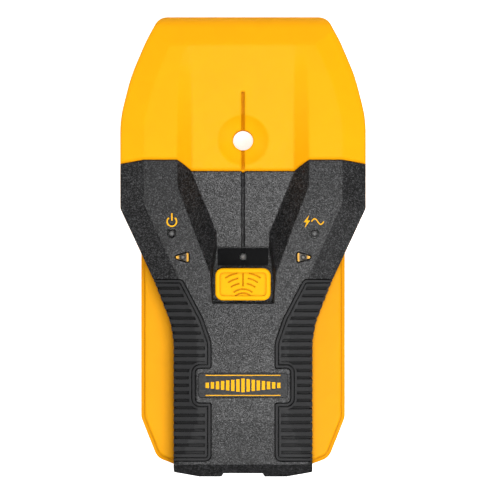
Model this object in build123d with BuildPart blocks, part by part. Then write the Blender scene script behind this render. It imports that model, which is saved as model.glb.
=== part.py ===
from build123d import *
import math
import os

# Stud finder: a hand-held wall scanner. It lies on its back. The origin is the middle of the back,
# +Y points to the sensing head, +Z away from the wall, and all sizes are in millimetres.

# ---------------------------------------------------------------- driving dimensions
LENGTH = 165.0
WIDTH = 88.0
HALF_LENGTH = LENGTH / 2
HALF_WIDTH = WIDTH / 2
GRIP_HALF = 24.9
PLATE_HALF = 36.7
WALL = 2.0
CLEAR = 0.2

# heights above the surface that the tool lies on
BACK_Z = 0.4
FLOOR_Z = BACK_Z + WALL
PARTING_Z = 9.0
DECK_Z = 10.8
DECK_THICK = DECK_Z - PARTING_Z
RIM_DROP = 0.9
RIM_WIDTH = 1.4
COVER_TOP = 26.8
HEAD_TOP = 27.6

# the sloping seam between the yellow head and the black cover
SEAM_Y = 32.0
SEAM_LEAN = 0.75
SEAM_GAP = 0.15
SEAM_NORMAL = (0, 1, -SEAM_LEAN)

# bevel round the top of both covers
BEVEL_WIDTH = 8.4
BEVEL_DROP = 2.0

# sloping band and rolled edge at the end of the head
BAND_NORMAL = (0, 2.4, 6.5)
ROLL_RADIUS = 6.1
ROLL_CENTRE_Y = HALF_LENGTH - ROLL_RADIUS
ROLL_CENTRE_Z = 19.7
ROLL_ANGLES = (32, 44, 56, 68, 80)

# sighting channel down the middle of the head and of the cover
CHANNEL_FLOOR_HALF = 18.4
CHANNEL_CREST_HALF = 23.7
CHANNEL_HEAD_END = 72.5
CHANNEL_SEAM_Y = 27.8
CHANNEL_SEAM_DEPTH = 5.3
CHANNEL_TILT = CHANNEL_SEAM_DEPTH / (CHANNEL_HEAD_END - CHANNEL_SEAM_Y)
CHANNEL_NORMAL = (0, -CHANNEL_TILT, 1)
GROOVE_WIDTH = 1.1
GROOVE_DEPTH = 1.0
GROOVE_END_Y = 56.0
COVER_LINE_WIDTH = 1.3
COVER_LINE_FLOOR = 0.4
COVER_LINE_DEPTH = 0.7

# marking hole
HOLE_Y = 38.3
HOLE_RADIUS = 3.6
DISH_RADIUS = 9.05
DISH_DEPTH = 3.0
DISH_SPHERE = (DISH_RADIUS**2 + DISH_DEPTH**2) / (2 * DISH_DEPTH)
TUBE_RADIUS = 5.2

# button pocket and button
POCKET_FLOOR_Z = 14.8
POCKET_END_Y = -20.3
BUTTON_Y = -13.4
BUTTON_LENGTH = 11.6
BUTTON_WIDTH = 19.9
BUTTON_CORNER = 2.8
BUTTON_RIM = 1.6
BUTTON_MARKS = [(11.3, 12, 33), (9.4, 12, 33), (7.5, 12, 34), (5.4, 0, 36), (4.0, 0, 40)]
MARK_CENTRE_Y = BUTTON_Y - 7.1
MARK_WIDTH = 0.55
MARK_DEPTH = 0.5
FACE_DEPTH = 0.5
BUTTON_TOP = 26.2
BUTTON_TRAVEL = 1.2
STEM_SIZE = (6.0, 4.0)
HOOK_REACH = 0.8

# lights
READY_Y = 4.8
READY_X = 25.6
ARROW_Y = -3.7
ARROW_TIP_X = 25.0
ARROW_BASE_X = 19.6
ARROW_HALF = 1.65
ARROW_CLEAR = 0.15
ARROW_GAP = 0.5
ARROW_FLARE_DEPTH = 0.9
LENS_GROW = 0.05
LENS_DEPTH = 1.9
LENS_SINK = 0.3
CENTRE_LIGHT_Y = -3.5
ARROW_LAMP_X = 21.6
ARROW_LAMP_RADIUS = 0.85
READY_LAMP_RADIUS = 1.15
CENTRE_LAMP_RADIUS = 0.95

# grip pads and badge
PAD_DEPTH = 1.2
PAD_BOTTOM = 13.0
RIB_PITCH = 2.68
RIB_CUT = 1.1
RIB_DEPTH = 0.8
BORDER_WIDTH = 2.4
LINE_WIDTH = 0.4
EDGE_WIDTH = 0.35
PAD_TOP_Y = -11.5
PAD_END_Y = -77.0
RIB_COUNT = 23
BADGE_HALF = 16.0
BADGE_Y = -49.6
BADGE_HEIGHT = 8.6
BADGE_CORNER = 1.2
BADGE_SINK = 0.4

# wall of the front cover that closes the grip end
SKIRT_START_Y = -78.3
SKIRT_INNER_Y = -80.4
SKIRT_INNER_HALF = 22.9

# circuit board
BOARD_Z = 4.0
BOARD_THICK = 1.6
BOARD_TOP = BOARD_Z + BOARD_THICK

# battery, 9 V block
BATTERY_WIDTH = 26.5
BATTERY_DEPTH = 17.5
BATTERY_BODY = 46.5
BATTERY_END_Y = -76.0
BATTERY_Z = 3.1

# battery door
DOOR_HALF = 15.3
DOOR_THICK = 1.8
HINGE_Y = -22.6
HINGE_Z = 1.5
HINGE_RADIUS = 1.1
PIN_RADIUS = 0.6
PIN_END_X = 17.0
DOOR_END_Y = -78.0
TAB_HALF = 7.0
LATCH_HALF = 6.0
LATCH_Y = -79.0
LATCH_Z = 3.3
LATCH_HOOK_Z = 8.0
LATCH_PIN_RADIUS = 0.5
HOOK_HEIGHT = 1.2
LATCH_HEIGHT = 5.4

# screws
HEAD_SCREWS = [(34.3, 56.0), (-34.3, 56.0)]
COVER_SCREWS = [(37.0, 18.0), (-37.0, 18.0), (20.3, -72.0), (-20.3, -72.0)]
BOARD_SCREWS = [(25.0, 66.0), (-25.0, 66.0), (25.0, 13.5), (-25.0, 13.5)]
SCREW_RADIUS = 1.25
COLUMN_RADIUS = 4.0
BOSS_RADIUS = 3.2
COUNTERBORE_RADIUS = 2.9
SEAT_Z = 4.0
SCREW_BITE = 7.5

# right-hand corners (x, y, corner radius) of each outline, from the head to the grip end
HEAD_CORNERS = [
    (30.0, HALF_LENGTH, 5.0),
    (34.9, 73.5, 60.0),
    (40.2, 61.0, 60.0),
    (HALF_WIDTH, 46.0, 40.0),
]
WAIST_CORNERS = [(HALF_WIDTH, 13.7, 3.0)]
BASE_CORNERS = HEAD_CORNERS + WAIST_CORNERS + [
    (PLATE_HALF, -1.9, 0),
    (PLATE_HALF, -61.5, 5.0),
    (30.9, -76.0, 5.0),
    (25.3, -78.1, 0),
    (22.7, -78.1, 0),
    (22.7, -80.2, 0),
]
COVER_CORNERS = [
    (HALF_WIDTH, 40.0, 0),
    (HALF_WIDTH, 13.7, 3.0),
    (32.1, -11.7, 30.0),
    (26.1, -27.0, 20.0),
    (GRIP_HALF, -34.0, 20.0),
    (GRIP_HALF, -80.8, 0.6),
    (15.7, -HALF_LENGTH, 0.6),
    (7.8, -HALF_LENGTH, 0),
    (7.0, -81.25, 0),
]
PAD_CORNERS = [
    (60.0, -11.5, 0),
    (21.7, -11.5, 2.0),
    (14.3, -25.6, 12.0),
    (11.3, -34.3, 9.0),
    (11.3, -43.6, 0.9),
    (17.0, -43.6, 1.6),
    (17.0, -55.8, 1.6),
    (11.3, -55.8, 0.9),
    (11.3, -77.0, 2.4),
    (60.0, -77.0, 0),
]
ARROW_CORNERS = [
    (ARROW_TIP_X, ARROW_Y, 0.4),
    (ARROW_BASE_X, ARROW_Y + ARROW_HALF, 0.4),
    (ARROW_BASE_X, ARROW_Y - ARROW_HALF, 0.4),
]

os.makedirs("parts", exist_ok=True)


# ---------------------------------------------------------------- helpers
def mirrored(corners):
    """The right-hand corners followed by their mirror images back up the left side."""
    return corners + [(-x, y, radius) for x, y, radius in reversed(corners)]


def rounded_outline(corners):
    """A closed outline through the corners, each rounded by its own radius."""
    FilletPolyline([(x, y) for x, y, _ in corners], radius=[radius for _, _, radius in corners], close=True)


def outline_face(corners, height, inset=0.0):
    """The symmetric outline as a face at the given height, pulled in by inset."""
    with BuildSketch(Plane.XY.offset(height)) as face:
        with BuildLine():
            rounded_outline(mirrored(corners))
        make_face()
        if inset:
            offset(amount=-inset, kind=Kind.INTERSECTION)
    return face.sketch


def tilted(y, z, normal, lift=0.0):
    """A plane through the line at (y, z) parallel to X, moved along its normal by lift."""
    return Plane(origin=(0, y, z), x_dir=(1, 0, 0), z_dir=normal).offset(lift)


def bevelled_block(corners, bottom, top, inset, bevel_from, bevel_to):
    """The outline raised to top, bevelled from bevel_from to bevel_to along Y, all pulled in by inset."""
    sharp = [(x, y, radius if radius > BEVEL_WIDTH + inset else 0) for x, y, radius in corners]
    with BuildPart() as block:
        extrude(outline_face(sharp, bottom, inset), amount=top - inset - bottom)
        lid = block.faces().sort_by(Axis.Z)[-1]
        rim = lid.edges().filter_by_position(Axis.Y, bevel_from, bevel_to)
        chamfer(rim, length=BEVEL_WIDTH, length2=BEVEL_DROP, reference=lid)
        extrude(outline_face(corners, bottom, inset), amount=top - bottom, mode=Mode.INTERSECT)
    return block.part


def save(piece, name):
    """Labels the finished piece and writes it to its own file."""
    piece.part.label = name
    export_step(piece.part, f"parts/{name}.step")


def head_block(inset):
    """Solid head: the base outline with its bevel, the sloping band and the rolled edge at its end."""
    corners = HEAD_CORNERS + [(HALF_WIDTH, 0.0, 0)]
    with BuildPart() as block:
        add(bevelled_block(corners, PARTING_Z, HEAD_TOP, inset, inset + 0.1, HALF_LENGTH - inset - 0.1))
        split(bisect_by=tilted(CHANNEL_HEAD_END, HEAD_TOP, BAND_NORMAL, -inset), keep=Keep.BOTTOM)
        for angle in ROLL_ANGLES:
            facing = (0, math.sin(math.radians(angle)), math.cos(math.radians(angle)))
            facet = tilted(ROLL_CENTRE_Y, ROLL_CENTRE_Z, facing, ROLL_RADIUS - inset)
            split(bisect_by=facet, keep=Keep.BOTTOM)
    return block.part


def cover_block(inset):
    """Solid cover: the cover outline with its bevel, the gentle slope of the grip and its end bevel."""
    with BuildPart() as block:
        add(bevelled_block(COVER_CORNERS, DECK_Z, COVER_TOP, inset, -79.0, 38.0))
        split(bisect_by=tilted(-62.0, COVER_TOP, (0, -1.6, 16.0), -inset), keep=Keep.BOTTOM)
        split(bisect_by=tilted(-78.1, COVER_TOP - 1.6, (0, -5.0, 4.4), -inset), keep=Keep.BOTTOM)
    return block.part


def channel_floor(y, top):
    """Height of the channel floor at y under a cover of height top."""
    return top - CHANNEL_TILT * (CHANNEL_HEAD_END - y)


def head_channel(grow):
    """The hollow above the head's channel, enlarged by grow at its floor and slopes."""
    floor_half = CHANNEL_FLOOR_HALF + 0.4 * grow
    crest_half = CHANNEL_CREST_HALF + 0.3 + 1.4 * grow
    crest = HEAD_TOP + 0.3
    sky = HEAD_TOP + 6.0
    with BuildPart() as hollow:
        for y, crest_z in ((20.0, crest), (74.0, crest - grow)):
            floor = channel_floor(y, HEAD_TOP) - grow
            corners = [(floor_half, floor, 0), (crest_half, crest_z, 0), (crest_half, sky, 0)]
            with BuildSketch(Plane.XZ.offset(-y)):
                with BuildLine():
                    rounded_outline(mirrored(corners))
                make_face()
        loft(ruled=True)
    return hollow.part


def cover_channel(grow):
    """The hollow above the cover's V-shaped channel and its button pocket, enlarged by grow."""
    seam_side = 38.0
    floor_corners = [
        (CHANNEL_FLOOR_HALF + grow, seam_side, 0),
        (CHANNEL_FLOOR_HALF + grow, 27.0, 0),
        (9.6 + grow, 5.5, 0),
        (9.4 + grow, -grow, 0),
    ]
    crest_corners = [
        (23.6 + grow, seam_side, 0),
        (23.6 + grow, 22.0, 0),
        (11.8 + grow, -9.5, 0),
        (11.1 + grow, POCKET_END_Y - grow, 0),
    ]
    pocket_corners = [
        (9.4 + grow, grow, 0),
        (11.3 + grow, -12.0, 0),
        (10.9 + grow, POCKET_END_Y - grow, 0),
    ]
    with BuildPart() as hollow:
        with BuildSketch(tilted(0, channel_floor(0, COVER_TOP) - grow, CHANNEL_NORMAL)):
            with BuildLine():
                rounded_outline(mirrored(floor_corners))
            make_face()
        add(outline_face(crest_corners, COVER_TOP))
        loft(ruled=True)
        extrude(outline_face(crest_corners, COVER_TOP), amount=5.0)
        pocket_bottom = POCKET_FLOOR_Z - grow
        extrude(outline_face(pocket_corners, pocket_bottom), amount=COVER_TOP + 5.0 - pocket_bottom)
    return hollow.part


def flare(widening, depth):
    """The taper, in degrees, that moves each wall out by widening over the depth."""
    return -math.degrees(math.atan2(widening, depth))


def arrow_prism(bottom, height, grow, side, taper=0.0):
    """A triangular prism that points away from the middle, on the side given by 1 or -1."""
    with BuildPart() as prism:
        with BuildSketch(Plane.XY.offset(bottom)):
            with BuildLine():
                rounded_outline([(side * x, y, radius) for x, y, radius in ARROW_CORNERS])
            make_face()
            if grow:
                offset(amount=grow)
        extrude(amount=height, taper=taper)
    return prism.part


def lamp(name, x, y, base, top, radius):
    """A light-emitting diode: flange, round body and domed tip."""
    with BuildPart() as diode:
        with BuildSketch(Plane.XY.offset(base)):
            with Locations((x, y)):
                Circle(radius + 0.25)
        extrude(amount=0.8)
        with BuildSketch(Plane.XY.offset(base)):
            with Locations((x, y)):
                Circle(radius)
        extrude(amount=top - base - radius)
        with Locations((x, y, top - radius)):
            Sphere(radius)
    save(diode, name)


# ---------------------------------------------------------------- rear shell
BATTERY_TOP_Y = BATTERY_END_Y + BATTERY_BODY
DISH_BOTTOM_Z = channel_floor(HOLE_Y, HEAD_TOP) - DISH_DEPTH
DISH_CENTRE = tilted(HOLE_Y, channel_floor(HOLE_Y, HEAD_TOP), CHANNEL_NORMAL, DISH_SPHERE - DISH_DEPTH).origin
TUBE_TOP = DISH_BOTTOM_Z - WALL

with BuildPart() as rear_shell:
    extrude(outline_face(BASE_CORNERS, BACK_Z), amount=PARTING_Z - BACK_Z)
    back_rim = rear_shell.faces().sort_by(Axis.Z)[0].edges()
    chamfer(back_rim, length=0.6)
    extrude(outline_face(BASE_CORNERS, FLOOR_Z, WALL), amount=PARTING_Z, mode=Mode.SUBTRACT)
    # columns for the housing screws
    with BuildSketch(Plane.XY.offset(BACK_Z)):
        with Locations(HEAD_SCREWS):
            Circle(COLUMN_RADIUS)
    extrude(amount=PARTING_Z - BACK_Z)
    with BuildSketch(Plane.XY.offset(BACK_Z)):
        with Locations(COVER_SCREWS):
            Circle(COLUMN_RADIUS)
    extrude(amount=DECK_Z - BACK_Z)
    # posts under the circuit board
    with BuildSketch(Plane.XY.offset(FLOOR_Z)):
        with Locations(BOARD_SCREWS):
            Circle(2.6)
    extrude(amount=BOARD_Z - FLOOR_Z)
    # side rails that hold the battery
    with BuildSketch(Plane.XY.offset(FLOOR_Z)):
        for side in (1, -1):
            with Locations((side * (DOOR_HALF + 1.2), (BATTERY_END_Y + BATTERY_TOP_Y) / 2)):
                Rectangle(1.6, 30.0)
    extrude(amount=9.0)
    # tube that carries the marking hole through the tool
    with BuildSketch(Plane.XY.offset(BACK_Z)):
        with Locations((0, HOLE_Y)):
            Circle(TUBE_RADIUS)
    extrude(amount=TUBE_TOP - BACK_Z)
    with Locations((0, HOLE_Y, BACK_Z)):
        Cylinder(HOLE_RADIUS, TUBE_TOP, align=(Align.CENTER, Align.CENTER, Align.MIN), mode=Mode.SUBTRACT)
    # battery opening with a cut for the latch, and blocks for the hinge pins
    with BuildSketch(Plane.XY.offset(0)):
        with Locations((0, (HINGE_Y + DOOR_END_Y + HINGE_RADIUS) / 2)):
            Rectangle(2 * (DOOR_HALF + CLEAR), HINGE_Y - DOOR_END_Y + HINGE_RADIUS + 2 * CLEAR)
        with Locations((0, DOOR_END_Y)):
            Rectangle(2 * (TAB_HALF + 0.8), 8.0)
    extrude(amount=PARTING_Z + 1.0, mode=Mode.SUBTRACT)
    for side in (1, -1):
        with Locations((side * (DOOR_HALF + CLEAR + 1.6), HINGE_Y, FLOOR_Z)):
            Box(3.2, 4.0, 1.2, align=(Align.CENTER, Align.CENTER, Align.MIN))
    with Locations(Location((0, HINGE_Y, HINGE_Z), (0, 90, 0))):
        Cylinder(PIN_RADIUS + 0.05, 2 * PIN_END_X + 0.4, mode=Mode.SUBTRACT)
    # screw holes and their counterbores
    for place in HEAD_SCREWS + COVER_SCREWS:
        with Locations((place[0], place[1], BACK_Z)):
            Cylinder(COUNTERBORE_RADIUS, 2 * (SEAT_Z - BACK_Z), mode=Mode.SUBTRACT)
            Cylinder(SCREW_RADIUS + 0.2, 2 * DECK_Z, mode=Mode.SUBTRACT)
    for place in BOARD_SCREWS:
        with Locations((place[0], place[1], BOARD_Z)):
            Cylinder(0.85, 5.0, mode=Mode.SUBTRACT)
save(rear_shell, "rear_shell")

# ---------------------------------------------------------------- yellow head with its side decks
with BuildPart() as head_cavity:
    add(head_block(WALL))
    add(head_channel(WALL), mode=Mode.SUBTRACT)
    with Locations((0, HOLE_Y, DISH_BOTTOM_Z - WALL)):
        Cylinder(DISH_RADIUS + 1.6, 20.0, align=(Align.CENTER, Align.CENTER, Align.MIN), mode=Mode.SUBTRACT)
    with Locations([(x, y, PARTING_Z) for x, y in HEAD_SCREWS]):
        Cylinder(BOSS_RADIUS, 60.0, mode=Mode.SUBTRACT)

with BuildPart() as dish_groove:
    with Locations(DISH_CENTRE):
        Sphere(DISH_SPHERE + GROOVE_DEPTH)
    with Locations((0, HOLE_Y, HEAD_TOP)):
        Box(GROOVE_WIDTH, 2 * DISH_RADIUS, 30.0, mode=Mode.INTERSECT)

with BuildPart() as head_shell:
    add(head_block(0.0))
    add(head_channel(0.0), mode=Mode.SUBTRACT)
    add(head_cavity.part, mode=Mode.SUBTRACT)
    with Locations(DISH_CENTRE):
        Sphere(DISH_SPHERE, mode=Mode.SUBTRACT)
    add(dish_groove.part, mode=Mode.SUBTRACT)
    with Locations((0, HOLE_Y, TUBE_TOP)):
        Cylinder(HOLE_RADIUS, 40.0, mode=Mode.SUBTRACT)
    with BuildSketch(tilted(0, channel_floor(0, HEAD_TOP), CHANNEL_NORMAL, -GROOVE_DEPTH)):
        with Locations((0, (GROOVE_END_Y + 20.0) / 2)):
            Rectangle(GROOVE_WIDTH, GROOVE_END_Y - 20.0)
    extrude(amount=5.0, mode=Mode.SUBTRACT)
    split(bisect_by=tilted(SEAM_Y, HEAD_TOP, SEAM_NORMAL), keep=Keep.TOP)
    # deck that runs on under the cover and out over the side plates
    extrude(outline_face(BASE_CORNERS, PARTING_Z), amount=DECK_THICK - RIM_DROP)
    extrude(outline_face(BASE_CORNERS, DECK_Z - RIM_DROP, RIM_WIDTH), amount=RIM_DROP)
    # opening of the deck inside the head and inside the cover
    head_opening = outline_face(HEAD_CORNERS + [(HALF_WIDTH, 20.0, 0)], PARTING_Z, WALL)
    extrude(head_opening, amount=DECK_THICK, mode=Mode.SUBTRACT)
    extrude(outline_face(COVER_CORNERS, PARTING_Z, 2 * WALL), amount=DECK_THICK, mode=Mode.SUBTRACT)
    with Locations([(x, y, PARTING_Z) for x, y in COVER_SCREWS]):
        Cylinder(COLUMN_RADIUS + 0.1, 2 * DECK_THICK, mode=Mode.SUBTRACT)
    # screw bosses
    with BuildSketch(Plane.XY.offset(PARTING_Z)):
        with Locations(HEAD_SCREWS):
            Circle(BOSS_RADIUS)
    extrude(amount=12.0)
    with Locations([(x, y, PARTING_Z) for x, y in HEAD_SCREWS]):
        Cylinder(SCREW_RADIUS + 0.05, 2 * SCREW_BITE, mode=Mode.SUBTRACT)
save(head_shell, "head_shell")


# ---------------------------------------------------------------- rubber grip pads
def cover_skin(depth):
    """The outer layer of the cover, depth thick."""
    with BuildPart() as skin:
        add(cover_block(0.0))
        add(cover_block(depth), mode=Mode.SUBTRACT)
    return skin.part


def pad_outlines(inset):
    """The faces of both grip pads, pulled in by inset."""
    with BuildSketch(Plane.XY.offset(PAD_BOTTOM)) as faces:
        for side in (1, -1):
            with BuildLine():
                rounded_outline([(side * x, y, radius) for x, y, radius in PAD_CORNERS])
            make_face()
        if inset:
            offset(amount=-inset, kind=Kind.INTERSECTION)
    return faces.sketch


with BuildPart() as pad_beds:
    add(cover_skin(PAD_DEPTH))
    extrude(pad_outlines(0.0), amount=COVER_TOP, mode=Mode.INTERSECT)

with BuildPart() as pad_grooves:
    with BuildSketch(Plane.XY.offset(PAD_BOTTOM)):
        with Locations((0, (PAD_TOP_Y + PAD_END_Y) / 2)):
            with GridLocations(1.0, RIB_PITCH, 1, RIB_COUNT):
                Rectangle(2 * WIDTH, RIB_CUT)
        add(pad_outlines(BORDER_WIDTH), mode=Mode.INTERSECT)
    extrude(amount=COVER_TOP)
    with BuildSketch(Plane.XY.offset(PAD_BOTTOM)):
        add(pad_outlines(BORDER_WIDTH / 2))
        add(pad_outlines(BORDER_WIDTH / 2 + LINE_WIDTH), mode=Mode.SUBTRACT)
    extrude(amount=COVER_TOP)
    with BuildSketch(Plane.XY.offset(PAD_BOTTOM)):
        add(pad_outlines(0.0))
        add(pad_outlines(EDGE_WIDTH), mode=Mode.SUBTRACT)
    extrude(amount=COVER_TOP)
    add(cover_skin(RIB_DEPTH), mode=Mode.INTERSECT)

for pad_name, pad_bed in zip(("left", "right"), pad_beds.solids().sort_by(Axis.X)):
    with BuildPart() as grip_pad:
        add(pad_bed)
        add(pad_grooves.part, mode=Mode.SUBTRACT)
    save(grip_pad, f"grip_pad_{pad_name}")

# ---------------------------------------------------------------- black front cover
with BuildPart() as cover_cavity:
    add(cover_block(WALL))
    add(cover_channel(1.5), mode=Mode.SUBTRACT)
    with Locations([(x, y, DECK_Z) for x, y in COVER_SCREWS]):
        Cylinder(BOSS_RADIUS, 60.0, mode=Mode.SUBTRACT)
    # ribs that press the battery down
    for y in (-66.0, -38.0):
        with Locations((0, y, BATTERY_Z + BATTERY_DEPTH + CLEAR)):
            Box(18.0, 1.6, 12.0, align=(Align.CENTER, Align.CENTER, Align.MIN), mode=Mode.SUBTRACT)

with BuildPart() as front_cover:
    add(cover_block(0.0))
    add(cover_cavity.part, mode=Mode.SUBTRACT)
    add(cover_channel(0.0), mode=Mode.SUBTRACT)
    split(bisect_by=tilted(SEAM_Y, HEAD_TOP, SEAM_NORMAL, -SEAM_GAP), keep=Keep.BOTTOM)
    add(pad_beds.part, mode=Mode.SUBTRACT)
    # end wall that closes the battery end of the rear shell, with the window for the latch
    with BuildSketch(Plane.XY.offset(BACK_Z)):
        with BuildLine():
            rounded_outline(mirrored(COVER_CORNERS))
        make_face()
        with Locations((0, 0)):
            Rectangle(WIDTH + 2, -2 * SKIRT_START_Y, mode=Mode.SUBTRACT)
        with Locations((0, SKIRT_INNER_Y + 10.0)):
            Rectangle(2 * SKIRT_INNER_HALF, 20.0, mode=Mode.SUBTRACT)
    extrude(amount=DECK_Z - BACK_Z)
    with Locations((0, SKIRT_INNER_Y, LATCH_HOOK_Z)):
        Box(2 * LATCH_HALF + 0.8, 4.0, HOOK_HEIGHT + 0.6, mode=Mode.SUBTRACT)
    # groove that continues the sighting line towards the centre light
    with BuildSketch(tilted(0, channel_floor(0, COVER_TOP), CHANNEL_NORMAL, -COVER_LINE_DEPTH)):
        with Locations((0, 16.0)):
            Rectangle(COVER_LINE_FLOOR, 32.0)
    line_taper = flare((COVER_LINE_WIDTH - COVER_LINE_FLOOR) / 2, COVER_LINE_DEPTH)
    extrude(amount=COVER_LINE_DEPTH + 0.2, taper=line_taper, mode=Mode.SUBTRACT)
    # openings for the button stem, the centre light, the indicator lights and the arrows
    with Locations((0, BUTTON_Y, POCKET_FLOOR_Z)):
        Box(STEM_SIZE[0] + 2 * HOOK_REACH + 0.4, STEM_SIZE[1] + 0.4, 8.0, mode=Mode.SUBTRACT)
    with Locations((0, CENTRE_LIGHT_Y, POCKET_FLOOR_Z)):
        Cylinder(CENTRE_LAMP_RADIUS + 0.5, 8.0, mode=Mode.SUBTRACT)
    with Locations([(side * READY_X, READY_Y, COVER_TOP) for side in (1, -1)]):
        Cylinder(READY_LAMP_RADIUS + 0.45, 10.0, mode=Mode.SUBTRACT)
    arrow_taper = flare(ARROW_GAP - ARROW_CLEAR, ARROW_FLARE_DEPTH)
    for side in (1, -1):
        add(arrow_prism(COVER_TOP - 5.0, 8.0, ARROW_CLEAR, side), mode=Mode.SUBTRACT)
        flare_bottom = COVER_TOP - ARROW_FLARE_DEPTH
        add(arrow_prism(flare_bottom, ARROW_FLARE_DEPTH, ARROW_CLEAR, side, arrow_taper), mode=Mode.SUBTRACT)
    with BuildSketch(Plane.XY.offset(COVER_TOP - BADGE_SINK)):
        with Locations((0, BADGE_Y)):
            RectangleRounded(2 * BADGE_HALF + 0.2, BADGE_HEIGHT + 0.2, BADGE_CORNER + 0.1)
    extrude(amount=1.0, mode=Mode.SUBTRACT)
    with Locations([(x, y, DECK_Z) for x, y in COVER_SCREWS]):
        Cylinder(SCREW_RADIUS + 0.05, 2 * (SCREW_BITE - 1.5), mode=Mode.SUBTRACT)
save(front_cover, "front_cover")

# ---------------------------------------------------------------- trim on the cover
with BuildPart() as badge_plate:
    with BuildSketch(Plane.XY.offset(COVER_TOP - BADGE_SINK)):
        with Locations((0, BADGE_Y)):
            RectangleRounded(2 * BADGE_HALF, BADGE_HEIGHT, BADGE_CORNER)
    extrude(amount=BADGE_SINK + 0.25)
save(badge_plate, "badge_plate")

for side_name, side in (("right", 1), ("left", -1)):
    with BuildPart() as arrow_lens:
        add(arrow_prism(COVER_TOP - LENS_SINK - LENS_DEPTH, LENS_DEPTH, LENS_GROW, side))
        with Locations((side * ARROW_LAMP_X, ARROW_Y, COVER_TOP)):
            Cylinder(ARROW_LAMP_RADIUS + 0.05, 10.0, mode=Mode.SUBTRACT)
    save(arrow_lens, f"{side_name}_arrow_lens")

with BuildPart() as centre_light_window:
    with BuildSketch(Plane.XY.offset(POCKET_FLOOR_Z)):
        with Locations((0, CENTRE_LIGHT_Y - 0.1)):
            Rectangle(18.2, 6.2)
        with Locations((0, CENTRE_LIGHT_Y)):
            Circle(CENTRE_LAMP_RADIUS + 0.4, mode=Mode.SUBTRACT)
    extrude(amount=0.8)
    with Locations((0, CENTRE_LIGHT_Y, POCKET_FLOOR_Z + 0.8)):
        Box(COVER_LINE_WIDTH, 10.0, 0.6, mode=Mode.SUBTRACT)
save(centre_light_window, "centre_light_window")

# ---------------------------------------------------------------- power button
CAP_BOTTOM = POCKET_FLOOR_Z + BUTTON_TRAVEL + 0.6
PLUNGER_TOP = 11.4
FACE_WIDTH = BUTTON_WIDTH - 2 * BUTTON_RIM
FACE_LENGTH = BUTTON_LENGTH - 2 * BUTTON_RIM

with BuildPart() as power_button:
    with BuildSketch(Plane.XY.offset(CAP_BOTTOM)):
        with Locations((0, BUTTON_Y)):
            RectangleRounded(BUTTON_WIDTH, BUTTON_LENGTH, BUTTON_CORNER)
    extrude(amount=BUTTON_TOP - CAP_BOTTOM)
    fillet(power_button.faces().sort_by(Axis.Z)[-1].edges(), radius=0.7)
    # hollow underside with the stem and its snap hooks
    with BuildSketch(Plane.XY.offset(CAP_BOTTOM)):
        with Locations((0, BUTTON_Y)):
            RectangleRounded(BUTTON_WIDTH - 3.0, BUTTON_LENGTH - 3.0, 0.8)
    extrude(amount=BUTTON_TOP - CAP_BOTTOM - 2.4, mode=Mode.SUBTRACT)
    with BuildSketch(Plane.XY.offset(PLUNGER_TOP)):
        with Locations((0, BUTTON_Y)):
            Rectangle(*STEM_SIZE)
    extrude(amount=BUTTON_TOP - 1.5 - PLUNGER_TOP)
    with Locations((0, BUTTON_Y, POCKET_FLOOR_Z - 1.5 - 0.1)):
        Box(STEM_SIZE[0] + 2 * HOOK_REACH, STEM_SIZE[1], 1.2, align=(Align.CENTER, Align.CENTER, Align.MAX))
    # dished face inside a raised rim, with the engraved signal marks
    with BuildSketch(Plane.XY.offset(BUTTON_TOP - FACE_DEPTH)):
        with Locations((0, BUTTON_Y)):
            RectangleRounded(FACE_WIDTH, FACE_LENGTH, BUTTON_CORNER - BUTTON_RIM)
    extrude(amount=1.0, mode=Mode.SUBTRACT)
    with BuildSketch(Plane.XY.offset(BUTTON_TOP - FACE_DEPTH - MARK_DEPTH)):
        with Locations((0, BUTTON_Y + 1.6)):
            SlotOverall(4.8, MARK_WIDTH, rotation=90)
        for mark_radius, first, last in BUTTON_MARKS:
            for middle in (90 + (first + last) / 2, 90 - (first + last) / 2) if first else (90,):
                sweep_angle = last - first if first else 2 * last
                with Locations((0, MARK_CENTRE_Y)):
                    SlotArc(CenterArc((0, 0), mark_radius, middle - sweep_angle / 2, sweep_angle), MARK_WIDTH)
    extrude(amount=1.0, mode=Mode.SUBTRACT)
save(power_button, "power_button")

# ---------------------------------------------------------------- switch under the button
with BuildPart() as switch_body:
    with Locations((0, BUTTON_Y, BOARD_TOP)):
        Box(12.0, 12.0, 3.0, align=(Align.CENTER, Align.CENTER, Align.MIN))
    with Locations((0, BUTTON_Y, BOARD_TOP + 3.0)):
        Cylinder(3.4, 2 * 2.2, mode=Mode.SUBTRACT)
save(switch_body, "switch_body")

with BuildPart() as switch_plunger:
    with Locations((0, BUTTON_Y, PLUNGER_TOP)):
        Cylinder(3.3, PLUNGER_TOP - BOARD_TOP - 2.2, align=(Align.CENTER, Align.CENTER, Align.MAX))
save(switch_plunger, "switch_plunger")

# ---------------------------------------------------------------- circuit board
with BuildPart() as main_pcb:
    with BuildSketch(Plane.XY.offset(BOARD_Z)):
        with Locations((0, 32.5)):
            RectangleRounded(58.0, 79.0, 3.0)
        with Locations((0, -14.5)):
            Rectangle(34.0, 16.0)
        with Locations((0, HOLE_Y)):
            Circle(TUBE_RADIUS + 0.5, mode=Mode.SUBTRACT)
        with Locations(BOARD_SCREWS):
            Circle(1.3, mode=Mode.SUBTRACT)
    extrude(amount=BOARD_THICK)
save(main_pcb, "main_pcb")

with BuildPart() as sensor_plates:
    with BuildSketch(Plane.XY.offset(BOARD_Z)):
        with Locations((12.0, 40.0), (-12.0, 40.0)):
            RectangleRounded(10.0, 46.0, 1.0)
        with Locations((23.5, 40.0), (-23.5, 40.0)):
            RectangleRounded(8.0, 40.0, 1.0)
    extrude(amount=-0.2)
save(sensor_plates, "sensor_plates")


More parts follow.
